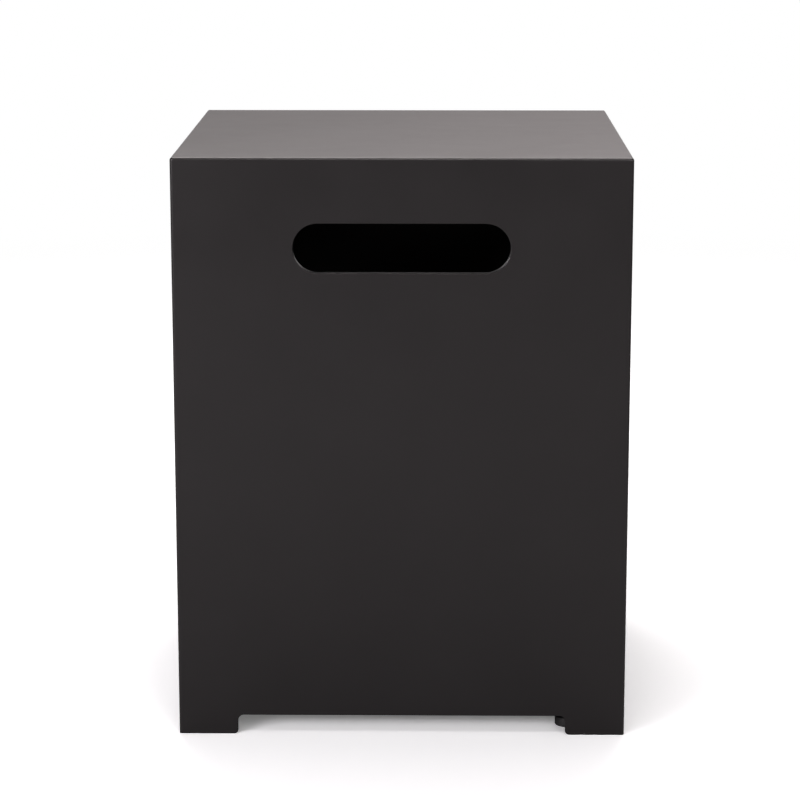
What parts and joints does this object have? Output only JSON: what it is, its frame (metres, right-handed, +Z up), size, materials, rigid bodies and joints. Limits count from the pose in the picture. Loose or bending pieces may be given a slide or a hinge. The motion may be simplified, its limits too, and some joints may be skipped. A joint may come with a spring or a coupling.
{
  "type": "propane tank cover table",
  "caption": "Square steel cover, closed on top as a side table and open below, with pill-shaped hand slots, corner feet and screw-in levelling glides.",
  "frame": {"origin": "centre of the footprint, on the plane that the feet stand on", "axes": "+Z up, the front with its hand slot faces -Y, +X to the right seen from the front"},
  "size_m": [0.406, 0.406, 0.528],
  "materials": {
    "powder_coat": "semi-matte black powder coat on mild steel sheet",
    "zinc_plate": "bright zinc plate",
    "glide_nylon": "moulded black nylon"
  },
  "bodies": {
    "cover": {"top_panel": "powder_coat", "front_panel": "powder_coat", "rear_panel": "powder_coat", "left_panel": "powder_coat", "right_panel": "powder_coat", "top_stiffener_left": "powder_coat", "top_stiffener_right": "powder_coat", "foot_bracket_front_right": "powder_coat", "foot_bracket_rear_right": "powder_coat", "foot_bracket_rear_left": "powder_coat", "foot_bracket_front_left": "powder_coat", "weld_nuts": "powder_coat", "seam_welds": "powder_coat", "bracket_welds": "powder_coat", "stiffener_welds": "powder_coat"},
    "pad_front_right": {"glide_pad_front_right": "glide_nylon"},
    "stud_front_right": {"glide_stud_front_right": "zinc_plate"},
    "pad_rear_right": {"glide_pad_rear_right": "glide_nylon"},
    "stud_rear_right": {"glide_stud_rear_right": "zinc_plate"},
    "pad_rear_left": {"glide_pad_rear_left": "glide_nylon"},
    "stud_rear_left": {"glide_stud_rear_left": "zinc_plate"},
    "pad_front_left": {"glide_pad_front_left": "glide_nylon"},
    "stud_front_left": {"glide_stud_front_left": "zinc_plate"}
  },
  "joints": [
    {"name": "front_right_lift", "type": "slide", "parent": "cover", "child": "pad_front_right", "axis": [0, 0, 1], "range_m": [-0.01, 0.005]},
    {"name": "front_right_turn", "type": "hinge", "parent": "pad_front_right", "child": "stud_front_right", "pos_m": [0.153, -0.171, 0.0058], "axis": [0, 0, 1], "range_deg": [-2880, 1440]},
    {"name": "rear_right_lift", "type": "slide", "parent": "cover", "child": "pad_rear_right", "axis": [0, 0, 1], "range_m": [-0.01, 0.005]},
    {"name": "rear_right_turn", "type": "hinge", "parent": "pad_rear_right", "child": "stud_rear_right", "pos_m": [0.171, 0.153, 0.0058], "axis": [0, 0, 1], "range_deg": [-2880, 1440]},
    {"name": "rear_left_lift", "type": "slide", "parent": "cover", "child": "pad_rear_left", "axis": [0, 0, 1], "range_m": [-0.01, 0.005]},
    {"name": "rear_left_turn", "type": "hinge", "parent": "pad_rear_left", "child": "stud_rear_left", "pos_m": [-0.153, 0.171, 0.0058], "axis": [0, 0, 1], "range_deg": [-2880, 1440]},
    {"name": "front_left_lift", "type": "slide", "parent": "cover", "child": "pad_front_left", "axis": [0, 0, 1], "range_m": [-0.01, 0.005]},
    {"name": "front_left_turn", "type": "hinge", "parent": "pad_front_left", "child": "stud_front_left", "pos_m": [-0.171, -0.153, 0.0058], "axis": [0, 0, 1], "range_deg": [-2880, 1440]}
  ],
  "couplings": [
    {"joint": "front_right_lift", "follows": "front_right_turn", "m_per_rad": 0.00019894},
    {"joint": "rear_right_lift", "follows": "rear_right_turn", "m_per_rad": 0.00019894},
    {"joint": "rear_left_lift", "follows": "rear_left_turn", "m_per_rad": 0.00019894},
    {"joint": "front_left_lift", "follows": "front_left_turn", "m_per_rad": 0.00019894}
  ]
}
